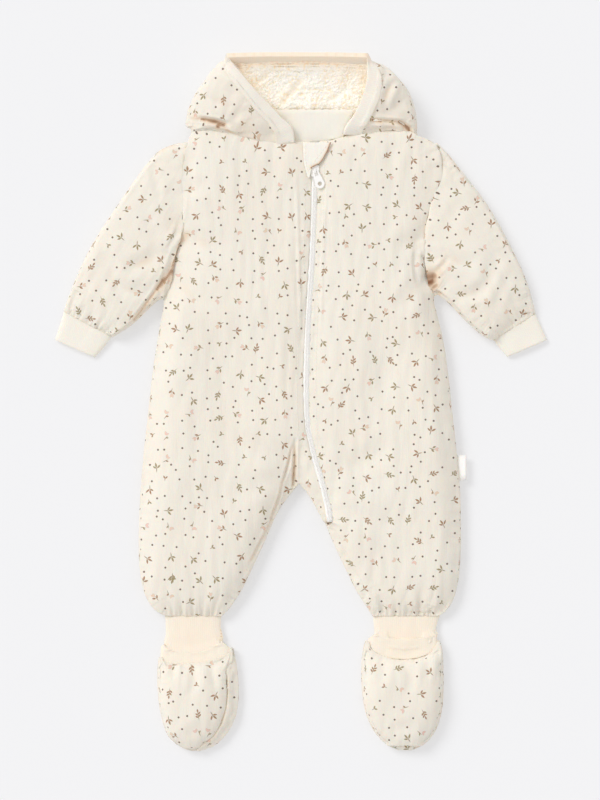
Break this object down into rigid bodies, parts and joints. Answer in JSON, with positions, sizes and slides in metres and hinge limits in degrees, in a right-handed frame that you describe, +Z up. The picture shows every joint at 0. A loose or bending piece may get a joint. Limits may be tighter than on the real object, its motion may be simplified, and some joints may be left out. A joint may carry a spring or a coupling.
{
  "type": "baby pramsuit",
  "caption": "Padded one-piece baby pramsuit with ribbed cuffs, pile-lined hood, front zip and attached booties, laid flat on its back.",
  "frame": {"origin": "on the table, under the middle of the garment's bounding box", "axes": "+X towards the wearer's left sleeve, +Y from the booties to the hood, +Z up from the table through the front of the garment"},
  "size_m": [0.492, 0.6915, 0.0451],
  "materials": {
    "shell": "padded woven cotton, cream with a small flower print",
    "rib": "fine knitted rib, warm cream",
    "pile": "curly pile, cream",
    "facing": "plain woven cotton, cream",
    "zip_tape": "woven tape, white",
    "zip_plastic": "moulded, white",
    "tab": "plain woven tape, white"
  },
  "bodies": {
    "suit": {"front_right": "shell", "front_left": "shell", "back": "shell", "sleeve_right": "shell", "sleeve_left": "shell", "hood_right": "shell", "hood_left": "shell", "bootie_upper_right": "shell", "bootie_upper_left": "shell", "bootie_sole_right": "shell", "bootie_sole_left": "shell", "hood_lining": "pile", "hood_band": "rib", "neck_facing": "facing", "chin_guard": "facing", "cuff_right": "rib", "cuff_left": "rib", "ankle_right": "rib", "ankle_left": "rib", "bootie_band_right": "rib", "bootie_band_left": "rib", "side_tab": "tab", "zip_tape_right": "zip_tape", "zip_tape_left": "zip_tape", "zip_chain": "zip_plastic", "zip_slider": "zip_plastic"},
    "zip_pull": {"zip_pull": "zip_plastic"}
  },
  "joints": [
    {"name": "pull_hinge", "type": "hinge", "parent": "suit", "child": "zip_pull", "pos_m": [0.014, 0.2283, 0.02378], "axis": [-0.9397, -0.342, 0], "range_deg": [0, 115]}
  ]
}
